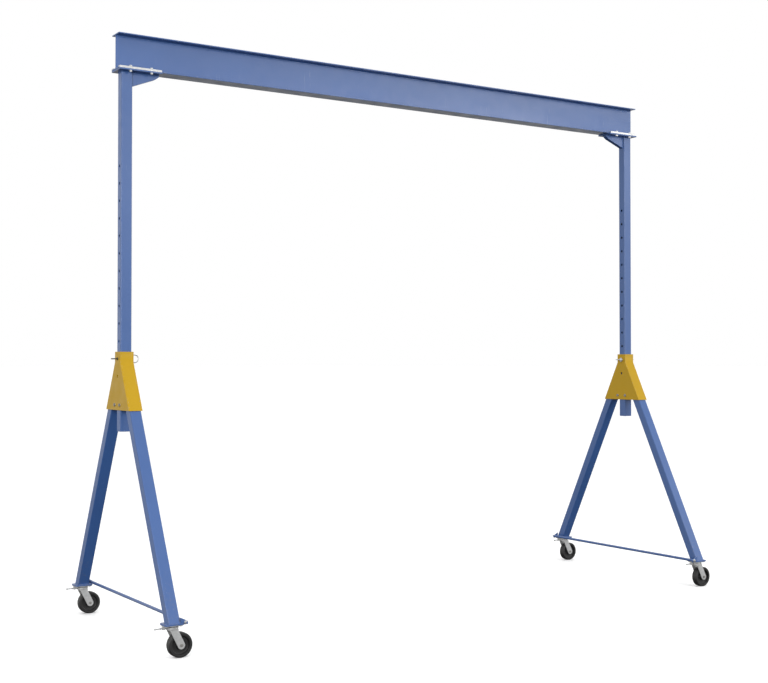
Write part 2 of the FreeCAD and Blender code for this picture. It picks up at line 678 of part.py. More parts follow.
def fork():
    """The caster's turning half: crown with four lock notches, top of the yoke and two straps."""
    crown = cylinder(CROWN_RADIUS, Vec(0, 0, CROWN_BOTTOM), Vec(0, 0, CROWN_TOP))
    crown = crown.makeFillet(CROWN_ROUNDING, [e for e in crown.Edges if e.Closed])
    low = CROWN_BOTTOM - YOKE_TOP_THICK
    top_plate = box(-YOKE_BACK, YOKE_FRONT, -YOKE_OUTER_Y, YOKE_OUTER_Y, low, CROWN_BOTTOM)
    straps = [strap(YOKE_HALF_GAP, YOKE_OUTER_Y), strap(-YOKE_OUTER_Y, -YOKE_HALF_GAP)]
    shape = crown.multiFuse([top_plate] + straps).removeSplitter()
    shape = shape.cut(ball_groove())
    shape = drilled(shape, KINGPIN_RADIUS + KINGPIN_GAP, Vec(0, 0, low), Vec(0, 0, CROWN_TOP))
    shape = drilled(shape, AXLE_RADIUS + AXLE_GAP, Vec(WHEEL_TRAIL, -YOKE_OUTER_Y, WHEEL_RADIUS),
                    Vec(WHEEL_TRAIL, YOKE_OUTER_Y, WHEEL_RADIUS))
    for i in range(4):
        notch = box(CROWN_RADIUS - LOCK_NOTCH_DEPTH, CROWN_RADIUS + CUT_MARGIN,
                    -LOCK_NOTCH_WIDTH / 2, LOCK_NOTCH_WIDTH / 2, LOCK_NOTCH_FLOOR, CROWN_TOP + CUT_MARGIN)
        notch.rotate(Vec(0, 0, 0), Z_DIR, 90 * i)
        shape = shape.cut(notch)
    return shape


def wheel():
    """A solid moulded wheel with a recessed web on both sides, its axis along Y."""
    rim_half = WHEEL_WIDTH / 2
    web_half = WEB_WIDTH / 2
    hub_half = HUB_WIDTH / 2
    half = [(WHEEL_BORE_RADIUS, hub_half), (HUB_RADIUS - 2, hub_half), (HUB_RADIUS, hub_half - 2),
            (HUB_RADIUS + 5, web_half), (RIM_INNER_RADIUS - 4, web_half), (RIM_INNER_RADIUS, rim_half - 1),
            (RIM_INNER_RADIUS + 1, rim_half), (WHEEL_RADIUS - 6, rim_half), (WHEEL_RADIUS - 2, rim_half - 2),
            (WHEEL_RADIUS, rim_half - 6)]
    outline = half + [(r, -y) for r, y in reversed(half)]
    face = Part.Face(Part.makePolygon([Vec(r, y, 0) for r, y in outline + outline[:1]]))
    solid = face.revolve(Vec(0, 0, 0), Y_DIR, 360)
    solid.translate(Vec(WHEEL_TRAIL, 0, WHEEL_RADIUS))
    return solid


def axle_set():
    """The axle bolt and its nut, and the sleeve that the wheel turns on."""
    near = Vec(WHEEL_TRAIL, -YOKE_OUTER_Y, WHEEL_RADIUS)
    far = Vec(WHEEL_TRAIL, YOKE_OUTER_Y, WHEEL_RADIUS)
    bolt = hex_bolt(AXLE_BOLT, near, Y_DIR, 2 * YOKE_OUTER_Y + AXLE_NUT_HEIGHT + AXLE_TAIL)
    nut = hex_nut(AXLE_BOLT, AXLE_NUT_HEIGHT, far, Y_DIR)
    end = YOKE_HALF_GAP - AXLE_GAP
    start = Vec(WHEEL_TRAIL, -end, WHEEL_RADIUS)
    stop = Vec(WHEEL_TRAIL, end, WHEEL_RADIUS)
    sleeve = drilled(cylinder(AXLE_SLEEVE_RADIUS, start, stop), AXLE_RADIUS + AXLE_GAP, start, stop)
    return [bolt, nut, sleeve]


def lock_pin():
    """The plunger of the swivel lock, drawn back, with its collar and ball knob."""
    tip_x = -CROWN_RADIUS - LOCK_TIP_GAP
    collar_end = -LOCK_HOUSING_TO - LOCK_TRAVEL - LOCK_COLLAR_GAP
    collar_start = collar_end - LOCK_COLLAR_LENGTH
    neck_x = -LOCK_KNOB_AT + math.sqrt(LOCK_KNOB_RADIUS ** 2 - LOCK_RADIUS ** 2)
    knob = ball_end(-LOCK_KNOB_AT, LOCK_KNOB_RADIUS, neck_x)
    sides = straight_edges([
        (neck_x, LOCK_RADIUS), (collar_start, LOCK_RADIUS), (collar_start, LOCK_COLLAR_RADIUS),
        (collar_end, LOCK_COLLAR_RADIUS), (collar_end, LOCK_RADIUS), (tip_x, LOCK_RADIUS),
        (tip_x, 0), (-LOCK_KNOB_AT - LOCK_KNOB_RADIUS, 0),
    ])
    pin = turned_about_x([knob] + sides)
    pin.translate(Z_DIR * LOCK_Z)
    return pin


def moved(shape, offset):
    """A copy of shape moved by offset."""
    copy = shape.copy()
    copy.translate(offset)
    return copy


# ---------------------------------------------------------------- groups that are written together

def write_frame(name, side):
    """All the nodes of one A-frame except its casters' moving parts."""
    inward = -side
    write(name + "_bracket_outer_plate", bracket_plate(side, -inward))
    write(name + "_bracket_inner_plate", bracket_plate(side, inward))
    write(name + "_bracket_skirts", *[bracket_skirt(side, end) for end in (-1, 1)])
    write(name + "_guide_sleeves", *[guide_sleeve(side, y) for y in guide_points()])
    write(name + "_guide_bolts", *[guide_bolt(side, y) for y in guide_points()])
    write(name + "_frame_nuts", *frame_nuts(side))
    write(name + "_tie_rod", tie_rod(side))
    write(name + "_tie_ears", *[tie_ear(side, end) for end in (-1, 1)])
    write(name + "_foot_plates", *[foot_plate(side, end) for end in (-1, 1)])
    for end_name, end in ENDS.items():
        write(name + "_" + end_name + "_leg", leg(side, end))
    handle_dir = Z_DIR if side < 0 else Y_DIR
    write(name + "_height_pin", height_pin(side, handle_dir))


def write_casters(name, side):
    """The casters of one frame; what bolts on is grouped, what moves has a node of its own."""
    axes = [caster_axis(side, end) for end in (-1, 1)]
    plate = caster_plate()
    nut = kingpin_nut()
    balls = swivel_balls()
    write(name + "_caster_plates", *[moved(plate, a) for a in axes])
    write(name + "_kingpin_nuts", *[moved(nut, a) for a in axes])
    write(name + "_swivel_balls", *[moved(ball, a) for a in axes for ball in balls])
    bolts = []
    under_plate = Z_DIR * (CASTER_HEIGHT - CASTER_PLATE_THICK)
    grip = CASTER_PLATE_THICK + FOOT_THICK - CASTER_BOLT_SHY
    for end in (-1, 1):
        for point in caster_bolt_points(side, end):
            bolts.append(hex_bolt(CASTER_BOLT, point + under_plate, Z_DIR, grip))
    write(name + "_caster_bolts", *bolts)
    for end_name, end in ENDS.items():
        place = caster_axis(side, end)
        stem = name + "_" + end_name
        write(stem + "_fork", moved(fork(), place))
        write(stem + "_wheel", moved(wheel(), place))
        write(stem + "_axle", *[moved(s, place) for s in axle_set()])
        write(stem + "_lock_pin", moved(lock_pin(), place))


os.makedirs("parts", exist_ok=True)
write_beam_and_seats()
for side_name, side_sign in SIDES.items():
    write_frame(side_name, side_sign)
    write_casters(side_name, side_sign)
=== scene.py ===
"""The looks of the portable gantry crane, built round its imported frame.

Everything is in metres in the crane's own frame: +X along the beam, +Y across it, +Z up, floor at z = 0.
The structural plates and tubes are shown with softened edges, the wheels are turned again with their
real profile, and welds, washers and screw threads are added. Sizes are read from the frame.
"""
import json
import math

import bmesh
import bpy
from mathutils import Matrix, Vector


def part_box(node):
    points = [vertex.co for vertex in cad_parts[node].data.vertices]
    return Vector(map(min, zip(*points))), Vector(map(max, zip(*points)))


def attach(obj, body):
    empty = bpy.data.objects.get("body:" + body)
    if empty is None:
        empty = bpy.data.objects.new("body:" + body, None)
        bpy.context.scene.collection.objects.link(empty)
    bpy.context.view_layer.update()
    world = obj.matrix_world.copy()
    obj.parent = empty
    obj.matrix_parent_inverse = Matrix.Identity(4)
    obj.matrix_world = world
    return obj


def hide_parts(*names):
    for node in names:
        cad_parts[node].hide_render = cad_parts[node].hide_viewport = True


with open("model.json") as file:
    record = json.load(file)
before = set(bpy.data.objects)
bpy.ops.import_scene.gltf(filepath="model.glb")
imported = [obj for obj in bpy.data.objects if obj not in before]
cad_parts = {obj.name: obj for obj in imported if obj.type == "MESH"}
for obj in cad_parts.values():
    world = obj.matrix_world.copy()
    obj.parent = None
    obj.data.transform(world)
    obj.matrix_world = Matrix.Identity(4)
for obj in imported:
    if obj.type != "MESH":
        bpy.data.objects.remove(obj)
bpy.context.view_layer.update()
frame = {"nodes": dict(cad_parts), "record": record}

MM = 0.001
SIDES = ("left", "right")
CORNERS = [(side, end) for side in SIDES for end in ("front", "back")]

# camera
CAMERA_AT = (-6.953, -10.379, 2.349)
CAMERA_TILT = 90.98
CAMERA_TURN = -32.77
CAMERA_LENS = 58.7

# light: the sky's brightness by height of the direction, and softboxes (place, aim, width, height, watts)
FLOOR_REACH = 700.0
FLOOR_GLOW = 0.12
SKY = [(-0.45, 0.0), (-0.25, 0.8), (-0.12, 0.4), (-0.015, 1.0), (0.28, 1.0), (0.5, 0.3), (0.85, 1.4)]
SOFTBOXES = [
    ("front_right", (6.0, -9.0, 4.5), (0, 0, 2.6), 5.0, 5.0, 350.0),
    ("front_left", (-9.5, -8.0, 5.0), (0, 0, 2.6), 5.0, 5.0, 700.0),
    ("right_high", (9.5, -9.0, 7.5), (1, 0, 4), 7.0, 4.0, 150.0),
    ("front_high", (3.0, -11.0, 6.5), (0, 0, 3), 5.0, 4.0, 100.0),
]

# how far out from the middle of the crane a height pin's darkened end starts: 1 mm inside the bracket's
# face; the dark end is painted shade that stands in for the shadow inside the bore
DARK_END_FROM = -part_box("left_bracket_outer_plate")[0].x - MM

# colours of the zinc plate
ZINC_LIGHT = (0.57, 0.575, 0.575)
ZINC_SHADE = (0.47, 0.475, 0.475)

# edge radii of the structure
BEAM_EDGE = 2.0 * MM
PLATE_EDGE = 1.2 * MM
TUBE_EDGE = 0.8 * MM
CASTING_EDGE = 1.0 * MM
SOFTEN_ABOVE = math.radians(32)

# welds and threads
WELD_SIZE = 6.0 * MM
WELD_RIPPLE = 3.2 * MM
WELD_STEP = 0.8 * MM
THREAD_PITCH = 1.8 * MM
THREAD_DEPTH = 0.7 * MM
THREAD_SEGMENTS = 24
THREAD_ROWS_PER_TURN = 6
THREAD_FADE = 1.2 * MM
WASHER_REACH = 0.62
WASHER_THICK = 2.2 * MM


# the wheel's profile: hub, web and tread, as radii and as distances from its middle plane
BORE = 12.7 * MM
HUB_RADIUS = 26.5 * MM
WEB_HALF = 12.0 * MM
WEB_STEP = 1.2 * MM
WEB_FILLET = 7.0 * MM
TREAD_INSET = 1.25 * MM
TREAD_INNER = 77.5 * MM
TREAD_GROOVE = (84.0 * MM, 87.0 * MM)
TREAD_ROUNDING = 6.0 * MM
WHEEL_SEGMENTS = 128


# ---------------------------------------------------------------- shader helpers

def add_node(tree, kind, values=None, **settings):
    """A new shader node: settings are its properties, values its input sockets."""
    made = tree.nodes.new("ShaderNode" + kind)
    for key, value in settings.items():
        setattr(made, key, value)
    for key, value in (values or {}).items():
        made.inputs[key].default_value = value
    return made


def join(tree, output, target, name):
    """Link an output socket to the named input of target."""
    tree.links.new(output, target.inputs[name])


def placed(tree, stretch=(1, 1, 1)):
    """The object's own coordinates, in metres, stretched by a factor on each axis."""
    where = add_node(tree, "TexCoord")
    scale = add_node(tree, "Mapping", {"Scale": stretch})
    join(tree, where.outputs["Object"], scale, "Vector")
    return scale.outputs["Vector"]


def noise(tree, scale, detail=2.0, stretch=(1, 1, 1)):
    """Soft noise from 0 to 1; scale is in waves per metre."""
    made = add_node(tree, "TexNoise", {"Scale": scale, "Detail": detail})
    join(tree, placed(tree, stretch), made, "Vector")
    return made.outputs["Fac"]


def band(tree, value, low, high, start=0.0, stop=1.0):
    """value mapped from low..high to start..stop, and held there beyond."""
    made = add_node(tree, "MapRange", {"From Min": low, "From Max": high, "To Min": start, "To Max": stop})
    join(tree, value, made, "Value")
    return made.outputs["Result"]


def maths(tree, operation, *operands):
    """The result of a maths node; each operand is a socket or a number."""
    made = add_node(tree, "Math", operation=operation)
    for index, operand in enumerate(operands):
        if isinstance(operand, (int, float)):
            made.inputs[index].default_value = operand
        else:
            tree.links.new(operand, made.inputs[index])
    return made.outputs[0]


def tint(tree, factor, first, second):
    """Blend from the colour first to the colour second by factor."""
    made = add_node(tree, "Mix", data_type="RGBA")
    tree.links.new(factor, made.inputs[0])
    for index, colour in ((6, first), (7, second)):
        if isinstance(colour, tuple):
            made.inputs[index].default_value = (*colour, 1)
        else:
            tree.links.new(colour, made.inputs[index])
    return made.outputs[2]


def bump(tree, height, depth, below=None):
    """A bump of the given depth in metres, on top of another one if there is one."""
    made = add_node(tree, "Bump", {"Strength": 1.0, "Distance": depth})
    join(tree, height, made, "Height")
    if below:
        join(tree, below, made, "Normal")
    return made.outputs["Normal"]


def facing_up(tree):
    """1 where the surface faces up, 0 where it is upright or faces down."""
    normal = add_node(tree, "NewGeometry").outputs["Normal"]
    parts = add_node(tree, "SeparateXYZ")
    join(tree, normal, parts, "Vector")
    return band(tree, parts.outputs["Z"], 0.55, 0.95)


def height_of(tree):
    """The height above the floor, in metres."""
    parts = add_node(tree, "SeparateXYZ")
    join(tree, placed(tree), parts, "Vector")
    return parts.outputs["Z"]


def edge_of(tree):
    """1 on the rounded edges that softened() marks, 0 elsewhere."""
    return add_node(tree, "Attribute", attribute_name="edge").outputs["Fac"]


def new_material(name):
    """An empty material and its tree, with a Principled shader."""
    made = bpy.data.materials.new(name)
    made.use_nodes = True
    tree = made.node_tree
    return made, tree, tree.nodes["Principled BSDF"]


# ---------------------------------------------------------------- materials

def enamel(name, colour, shade, undercoat, roughness, coat, specular):
    """Sprayed enamel over rolled steel: orange peel, cloudy gloss, dust on top, scuffs and worn edges."""
    made, tree, shader = new_material(name)
    cloud = band(tree, noise(tree, 1.7, 4.0), 0.3, 0.7)
    paint = tint(tree, cloud, colour, shade)

    scuff = noise(tree, 90.0, 5.0, (1, 1, 0.05))
    patch = band(tree, noise(tree, 3.1, 3.0), 0.52, 0.66)
    scuff = maths(tree, "MULTIPLY", band(tree, scuff, 0.66, 0.72), patch)
    lighter = tuple(0.6 * c + 0.25 for c in colour)
    paint = tint(tree, maths(tree, "MULTIPLY", scuff, 0.35), paint, lighter)

    low = band(tree, height_of(tree), 0.75, 0.27)
    splash = band(tree, noise(tree, 38.0, 6.0), 0.5, 0.72)
    splash = maths(tree, "MULTIPLY", maths(tree, "MULTIPLY", low, splash), 0.3)
    paint = tint(tree, splash, paint, (0.16, 0.15, 0.13))

    dust = maths(tree, "MULTIPLY", facing_up(tree), band(tree, noise(tree, 14.0, 5.0), 0.25, 0.8))
    paint = tint(tree, maths(tree, "MULTIPLY", dust, 0.3), paint, (0.5, 0.5, 0.49))

    chips = maths(tree, "MULTIPLY", edge_of(tree), band(tree, noise(tree, 60.0, 6.0), 0.56, 0.62))
    paint = tint(tree, maths(tree, "MULTIPLY", chips, 0.8), paint, undercoat)
    join(tree, paint, shader, "Base Color")

    gloss = band(tree, noise(tree, 9.0, 5.0), 0.3, 0.7, roughness - 0.06, roughness + 0.07)
    gloss = maths(tree, "ADD", gloss, maths(tree, "MULTIPLY", dust, 0.25))
    join(tree, maths(tree, "ADD", gloss, maths(tree, "MULTIPLY", scuff, 0.15)), shader, "Roughness")

    rolled = bump(tree, noise(tree, 24.0, 3.0), 0.25 * MM)
    peel = bump(tree, noise(tree, 420.0, 2.0), 0.03 * MM, rolled)
    join(tree, bump(tree, chips, 0.12 * MM, peel), shader, "Normal")
    shader.inputs["Coat Weight"].default_value = coat
    shader.inputs["Specular IOR Level"].default_value = specular
    shader.inputs["Coat Roughness"].default_value = 0.12
    return made


def zinc_plate(name, colour, shade, roughness):
    """Bright zinc plate: grey cloud, fine drawn grain, a duller film in patches and bare worn edges."""
    made, tree, shader = new_material(name)
    cloud = band(tree, noise(tree, 34.0, 5.0), 0.3, 0.7)
    metal = tint(tree, cloud, colour, shade)
    film = band(tree, noise(tree, 120.0, 4.0), 0.55, 0.75)
    metal = tint(tree, maths(tree, "MULTIPLY", film, 0.25), metal, (0.42, 0.43, 0.42))
    metal = tint(tree, maths(tree, "MULTIPLY", edge_of(tree), 0.5), metal, (0.8, 0.8, 0.8))
    join(tree, metal, shader, "Base Color")
    grain = noise(tree, 700.0, 3.0, (1, 1, 0.08))
    gloss = band(tree, grain, 0.3, 0.7, roughness - 0.07, roughness + 0.09)
    join(tree, maths(tree, "ADD", gloss, maths(tree, "MULTIPLY", film, 0.12)), shader, "Roughness")
    stamped = bump(tree, noise(tree, 60.0, 3.0), 0.08 * MM)
    join(tree, bump(tree, grain, 0.015 * MM, stamped), shader, "Normal")
    shader.inputs["Metallic"].default_value = 0.7
    return made


def pin_plate(name):
    """The height pin's zinc plate; the end that goes through the bracket is painted dark as shade, the
    shadow of the bore it sits in.
    """
    made = zinc_plate(name, ZINC_LIGHT, ZINC_SHADE, 0.36)
    tree = made.node_tree
    shader = tree.nodes["Principled BSDF"]
    plated = shader.inputs["Base Color"].links[0].from_socket
    parts = add_node(tree, "SeparateXYZ")
    join(tree, placed(tree), parts, "Vector")
    # painted shade: from just inside the bracket's face outwards the pin is darkened to look like the shadow
    # in its bore
    shaded_end = band(tree, maths(tree, "ABSOLUTE", parts.outputs["X"]), DARK_END_FROM, DARK_END_FROM + MM)
    end_shade = tint(tree, noise(tree, 150.0, 4.0), (0.03, 0.03, 0.028), (0.07, 0.068, 0.06))
    join(tree, tint(tree, shaded_end, plated, end_shade), shader, "Base Color")
    return made


def phenolic(name):
    """Moulded phenolic with a fibre fleck; the tread is scuffed grey where it rolls."""
    made, tree, shader = new_material(name)
    fleck = band(tree, noise(tree, 900.0, 3.0), 0.55, 0.75)
    cloth = band(tree, noise(tree, 160.0, 5.0), 0.3, 0.7)
    body = tint(tree, cloth, (0.006, 0.006, 0.007), (0.013, 0.0125, 0.0125))
    body = tint(tree, maths(tree, "MULTIPLY", fleck, 0.35), body, (0.03, 0.028, 0.025))
    parts = add_node(tree, "SeparateXYZ")
    join(tree, placed(tree), parts, "Vector")
    square = maths(tree, "ADD", maths(tree, "MULTIPLY", parts.outputs["X"], parts.outputs["X"]),
                   maths(tree, "MULTIPLY", parts.outputs["Z"], parts.outputs["Z"]))
    radius = maths(tree, "SQRT", square)
    tread = band(tree, radius, 0.0985, 0.1005)
    rubbed = maths(tree, "MULTIPLY", tread, band(tree, noise(tree, 70.0, 6.0), 0.35, 0.7))
    body = tint(tree, maths(tree, "MULTIPLY", rubbed, 0.5), body, (0.06, 0.058, 0.054))
    join(tree, body, shader, "Base Color")
    gloss = band(tree, noise(tree, 45.0, 4.0), 0.3, 0.7, 0.34, 0.5)
    join(tree, maths(tree, "ADD", gloss, maths(tree, "MULTIPLY", rubbed, 0.25)), shader, "Roughness")
    rings = bump(tree, maths(tree, "SINE", maths(tree, "MULTIPLY", radius, 5200.0)), 0.012 * MM)
    join(tree, bump(tree, noise(tree, 300.0, 4.0), 0.05 * MM, rings), shader, "Normal")
    return made


def ground_steel(name):
    """Ground bearing steel with a thin film of grease."""
    made, tree, shader = new_material(name)
    film = band(tree, noise(tree, 220.0, 4.0), 0.4, 0.65)
    join(tree, tint(tree, film, (0.62, 0.61, 0.6), (0.4, 0.36, 0.29)), shader, "Base Color")
    join(tree, band(tree, film, 0.0, 1.0, 0.14, 0.32), shader, "Roughness")
    join(tree, bump(tree, noise(tree, 900.0, 2.0), 0.006 * MM), shader, "Normal")
    shader.inputs["Metallic"].default_value = 1.0
    return made


def pale_floor(name):
    """A plain pale floor with the faintest cloud in it."""
    made, tree, shader = new_material(name)
    cloud = band(tree, noise(tree, 0.6, 4.0), 0.3, 0.7)
    join(tree, tint(tree, cloud, (0.97, 0.97, 0.97), (0.95, 0.95, 0.95)), shader, "Base Color")
    join(tree, band(tree, noise(tree, 3.0, 4.0), 0.3, 0.7, 0.5, 0.6), shader, "Roughness")
    shader.inputs["Emission Color"].default_value = (1, 1, 1, 1)
    shader.inputs["Emission Strength"].default_value = FLOOR_GLOW
    return made


UNDERCOAT = (0.36, 0.36, 0.35)
BLUE = enamel("blue_enamel", (0.04, 0.101, 0.283), (0.037, 0.093, 0.262), UNDERCOAT, 0.36, 0.2, 0.5)
YELLOW = enamel("yellow_enamel", (0.45, 0.27, 0.002), (0.42, 0.252, 0.002), UNDERCOAT, 0.42, 0.0, 0.3)
ZINC = zinc_plate("zinc_plate", ZINC_LIGHT, ZINC_SHADE, 0.36)
PIN_ZINC = pin_plate("pin_plate")
DARK_ZINC = zinc_plate("dark_zinc_plate", (0.3, 0.295, 0.28), (0.22, 0.215, 0.2), 0.42)
BLACK = phenolic("black_phenolic")
STEEL = ground_steel("ground_steel")
BY_SLOT = {"blue_paint": BLUE, "yellow_paint": YELLOW, "zinc": ZINC, "black_phenolic": BLACK,
           "bearing_steel": STEEL}


# ---------------------------------------------------------------- mesh helpers

def slot_of(node):
    """The record's material slot of a CAD node."""
    for row in frame["record"]["subparts"]:
        if row["node"] == node:
            return row["material_slot"]
    raise KeyError(node)


def body_of(node):
    """The body that a CAD node belongs to."""
    for name, members in frame["record"]["behaviour"]["bodies"].items():
        if node in members:
            return name
    raise KeyError(node)


def piece(name, bm, slot, body, smooth_below=40.0):
    """Turn a bmesh into an object that rides on body and takes the slot's material."""
    limit = math.radians(smooth_below)
    for face in bm.faces:
        face.smooth = True
    for edge in bm.edges:
        edge.smooth = edge.is_manifold and edge.calc_face_angle(math.pi) < limit
    mesh = bpy.data.meshes.new(name)
    bm.to_mesh(mesh)
    bm.free()
    mesh.materials.append(BY_SLOT[slot])
    made = bpy.data.objects.new(name, mesh)
    bpy.context.scene.collection.objects.link(made)
    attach(made, body)
    return made


def node_mesh(node):
    """A bmesh of a CAD node; it stays in triangles, as a face with bolt holes can't be one polygon."""
    bm = bmesh.new()
    bm.from_mesh(frame["nodes"][node].data)
    bmesh.ops.remove_doubles(bm, verts=bm.verts, dist=0.01 * MM)
    return bm


def softened(node, width):
    """Show a CAD node with its sharp edges rounded to width, and mark those edges for the wear."""
    bm = node_mesh(node)
    sharp = [e for e in bm.edges if e.is_manifold and e.calc_face_angle(0.0) > SOFTEN_ABOVE]
    cut = bmesh.ops.bevel(bm, geom=sharp, offset=width, offset_type="OFFSET", segments=3, profile=0.5,
                          affect="EDGES", clamp_overlap=False, loop_slide=False)
    rounded = set(cut["faces"])
    layer = bm.verts.layers.float.new("edge")
    for vert in bm.verts:
        vert[layer] = 1.0 if all(face in rounded for face in vert.link_faces) else 0.0
    made = piece(node + "_shown", bm, slot_of(node), body_of(node))
    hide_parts(node)
    weighted = made.modifiers.new("flat_faces", "WEIGHTED_NORMAL")
    weighted.keep_sharp = True
    weighted.weight = 80
    return made


def islands(node):
    """The separate solids of a CAD node, each as a list of points."""
    bm = bmesh.new()
    bm.from_mesh(frame["nodes"][node].data)
    bmesh.ops.remove_doubles(bm, verts=bm.verts, dist=0.01 * MM)
    left = set(bm.verts)
    groups = []
    while left:
        to_visit = [left.pop()]
        group = []
        while to_visit:
            vert = to_visit.pop()
            group.append(vert.co.copy())
            for edge in vert.link_edges:
                other = edge.other_vert(vert)
                if other in left:
                    left.remove(other)
                    to_visit.append(other)
        groups.append(group)
    bm.free()
    return groups


def corners(points):
    """The lowest and highest corner of a list of points."""
    low = Vector([min(p[i] for p in points) for i in range(3)])
    high = Vector([max(p[i] for p in points) for i in range(3)])
    return low, high


def frame_of(axis):
    """Two unit vectors square to axis and to each other."""
    axis = Vector(axis).normalized()
    guide = Vector((1, 0, 0)) if abs(axis.x) < 0.9 else Vector((0, 0, 1))
    first = guide.cross(axis).normalized()
    return first, axis.cross(first)


def rings_to_faces(bm, rings, closed_ends):
    """Skin a list of equal rings of vertices; closed_ends caps the first and the last."""
    count = len(rings[0])
    for low, high in zip(rings, rings[1:]):
        for i in range(count):
            j = (i + 1) % count
            bm.faces.new((low[i], low[j], high[j], high[i]))
    if closed_ends:
        bm.faces.new(list(reversed(rings[0])))
        bm.faces.new(rings[-1])


def turned(bm, outline, centre, axis, segments=64):
    """Turn a closed outline of (distance along the axis, radius) round the axis."""
    axis = Vector(axis).normalized()
    first, second = frame_of(axis)
    rings = []
    for along, radius in outline:
        base = Vector(centre) + axis * along
        ring = []
        for i in range(segments):
            angle = 2 * math.pi * i / segments
            ring.append(bm.verts.new(base + (first * math.cos(angle) + second * math.sin(angle)) * radius))
        rings.append(ring)
    rings_to_faces(bm, rings + rings[:1], False)


def arc(middle, radius, start, stop, steps):
    """Points on an arc in the outline's plane; angles are in degrees."""
    points = []
    for i in range(steps + 1):
        angle = math.radians(start + (stop - start) * i / steps)
        points.append((middle[0] + radius * math.cos(angle), middle[1] + radius * math.sin(angle)))
    return points


# ---------------------------------------------------------------- welds

def weld(bm, path, wall_dirs, floor_dirs, size=WELD_SIZE):
    """A rippled fillet weld along path; at each point it spreads size up the wall and along the floor."""
    samples = []
    travelled = 0.0
    for start, stop, wall, floor in zip(path, path[1:], wall_dirs, floor_dirs):
        length = (stop - start).length
        steps = max(2, round(length / WELD_STEP))
        for i in range(steps):
            samples.append((start.lerp(stop, i / steps), wall, floor, travelled + length * i / steps))
        travelled += length
    samples.append((path[-1], wall_dirs[-1], floor_dirs[-1], travelled))
    rings = []
    for point, wall, floor, along in samples:
        beat = abs(math.sin(math.pi * along / WELD_RIPPLE))
        wander = 0.06 * math.sin(along * 71.0) + 0.04 * math.sin(along * 193.0)
        reach = size * (0.9 + 0.1 * beat + wander)
        ring = [bm.verts.new(point - (wall + floor) * 0.3 * MM)]
        for k in range(5):
            angle = math.pi / 2 * k / 4
            round_part = wall * math.cos(angle) + floor * math.sin(angle)
            flat_part = wall * (1 - k / 4) + floor * (k / 4)
            bulge = 0.45 + 0.12 * beat
            ring.append(bm.verts.new(point + (round_part * bulge + flat_part * (1 - bulge)) * reach))
        rings.append(ring)
    rings_to_faces(bm, rings, True)


def weld_round_tube(bm, low, high, z, up, gap_sides=()):
    """Four straight welds round the foot of an upright tube; up is +1 or -1, the way the wall goes."""
    wall = Vector((0, 0, up))
    inset = 7 * MM
    runs = {
        "x_low": ((low.x, low.y + inset), (low.x, high.y - inset), (-1, 0, 0)),
        "x_high": ((high.x, high.y - inset), (high.x, low.y + inset), (1, 0, 0)),
        "y_low": ((high.x - inset, low.y), (low.x + inset, low.y), (0, -1, 0)),
        "y_high": ((low.x + inset, high.y), (high.x - inset, high.y), (0, 1, 0)),
    }
    for name, (start, stop, floor) in runs.items():
        if name not in gap_sides:
            path = [Vector((*start, z)), Vector((*stop, z))]
            weld(bm, path, [wall], [Vector(floor)])


def seat_welds(side):
    """Welds between an upright, its gusset and its seat plate."""
    bm = bmesh.new()
    low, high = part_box(side + "_upright")
    inner = "x_high" if side == "left" else "x_low"
    weld_round_tube(bm, low, high, high.z, -1, (inner,))
    g_low, g_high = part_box(side + "_gusset")
    for y, out in ((g_low.y, -1), (g_high.y, 1)):
        floor = Vector((0, out, 0))
        top = [Vector((g_low.x + 12 * MM, y, high.z)), Vector((g_high.x - 12 * MM, y, high.z))]
        weld(bm, top, [Vector((0, 0, -1))], [floor])
        inner_x = high.x if side == "left" else low.x
        toward = 1 if side == "left" else -1
        rise = [Vector((inner_x, y, g_low.z + 6 * MM)), Vector((inner_x, y, high.z - 6 * MM))]
        weld(bm, rise, [Vector((toward, 0, 0))], [floor])
    piece(side + "_seat_welds", bm, "blue_paint", "beam", 60.0)


def foot_outline(node, z):
    """The lowest and highest corner of a leg tube where it meets the foot plate at height z."""
    points = [v.co for v in frame["nodes"][node].data.vertices if v.co.z < z + 1 * MM]
    return corners(points)


def foot_welds(side):
    """Welds between the legs and their foot plates."""
    bm = bmesh.new()
    plate_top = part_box(side + "_foot_plates")[1].z
    for end in ("front", "back"):
        low, high = foot_outline(f"{side}_{end}_leg", plate_top)
        weld_round_tube(bm, low, high, plate_top, 1)
    piece(side + "_foot_welds", bm, "blue_paint", side + "_frame", 60.0)


# ---------------------------------------------------------------- fasteners

def thread(bm, start, axis, length, radius):
    """A screw thread round a shank: start is on its axis, and it runs along axis for length."""
    axis = Vector(axis).normalized()
    first, second = frame_of(axis)
    rows = max(4, round(length / THREAD_PITCH * THREAD_ROWS_PER_TURN))
    rings = []
    for row in range(rows + 1):
        along = length * row / rows
        fade = min(1.0, (length - along) / THREAD_FADE + 0.15)
        ring = []
        for i in range(THREAD_SEGMENTS):
            turn = i / THREAD_SEGMENTS
            phase = (along / THREAD_PITCH - turn) % 1.0
            ridge = 1 - abs(2 * phase - 1)
            reach = radius + THREAD_DEPTH * (ridge * fade - 0.15)
            angle = 2 * math.pi * turn
            spoke = first * math.cos(angle) + second * math.sin(angle)
            ring.append(bm.verts.new(Vector(start) + axis * along + spoke * reach))
        rings.append(ring)
    rings_to_faces(bm, rings, True)


def washer(bm, seat, axis, inner, outer):
    """A flat washer that lies on seat and is WASHER_THICK thick along axis."""
    soft = 0.4 * MM
    outline = [(0, inner), (WASHER_THICK, inner), (WASHER_THICK, outer - soft), (WASHER_THICK - soft, outer),
               (soft, outer), (0, outer - soft)]
    turned(bm, outline, seat, axis, 40)


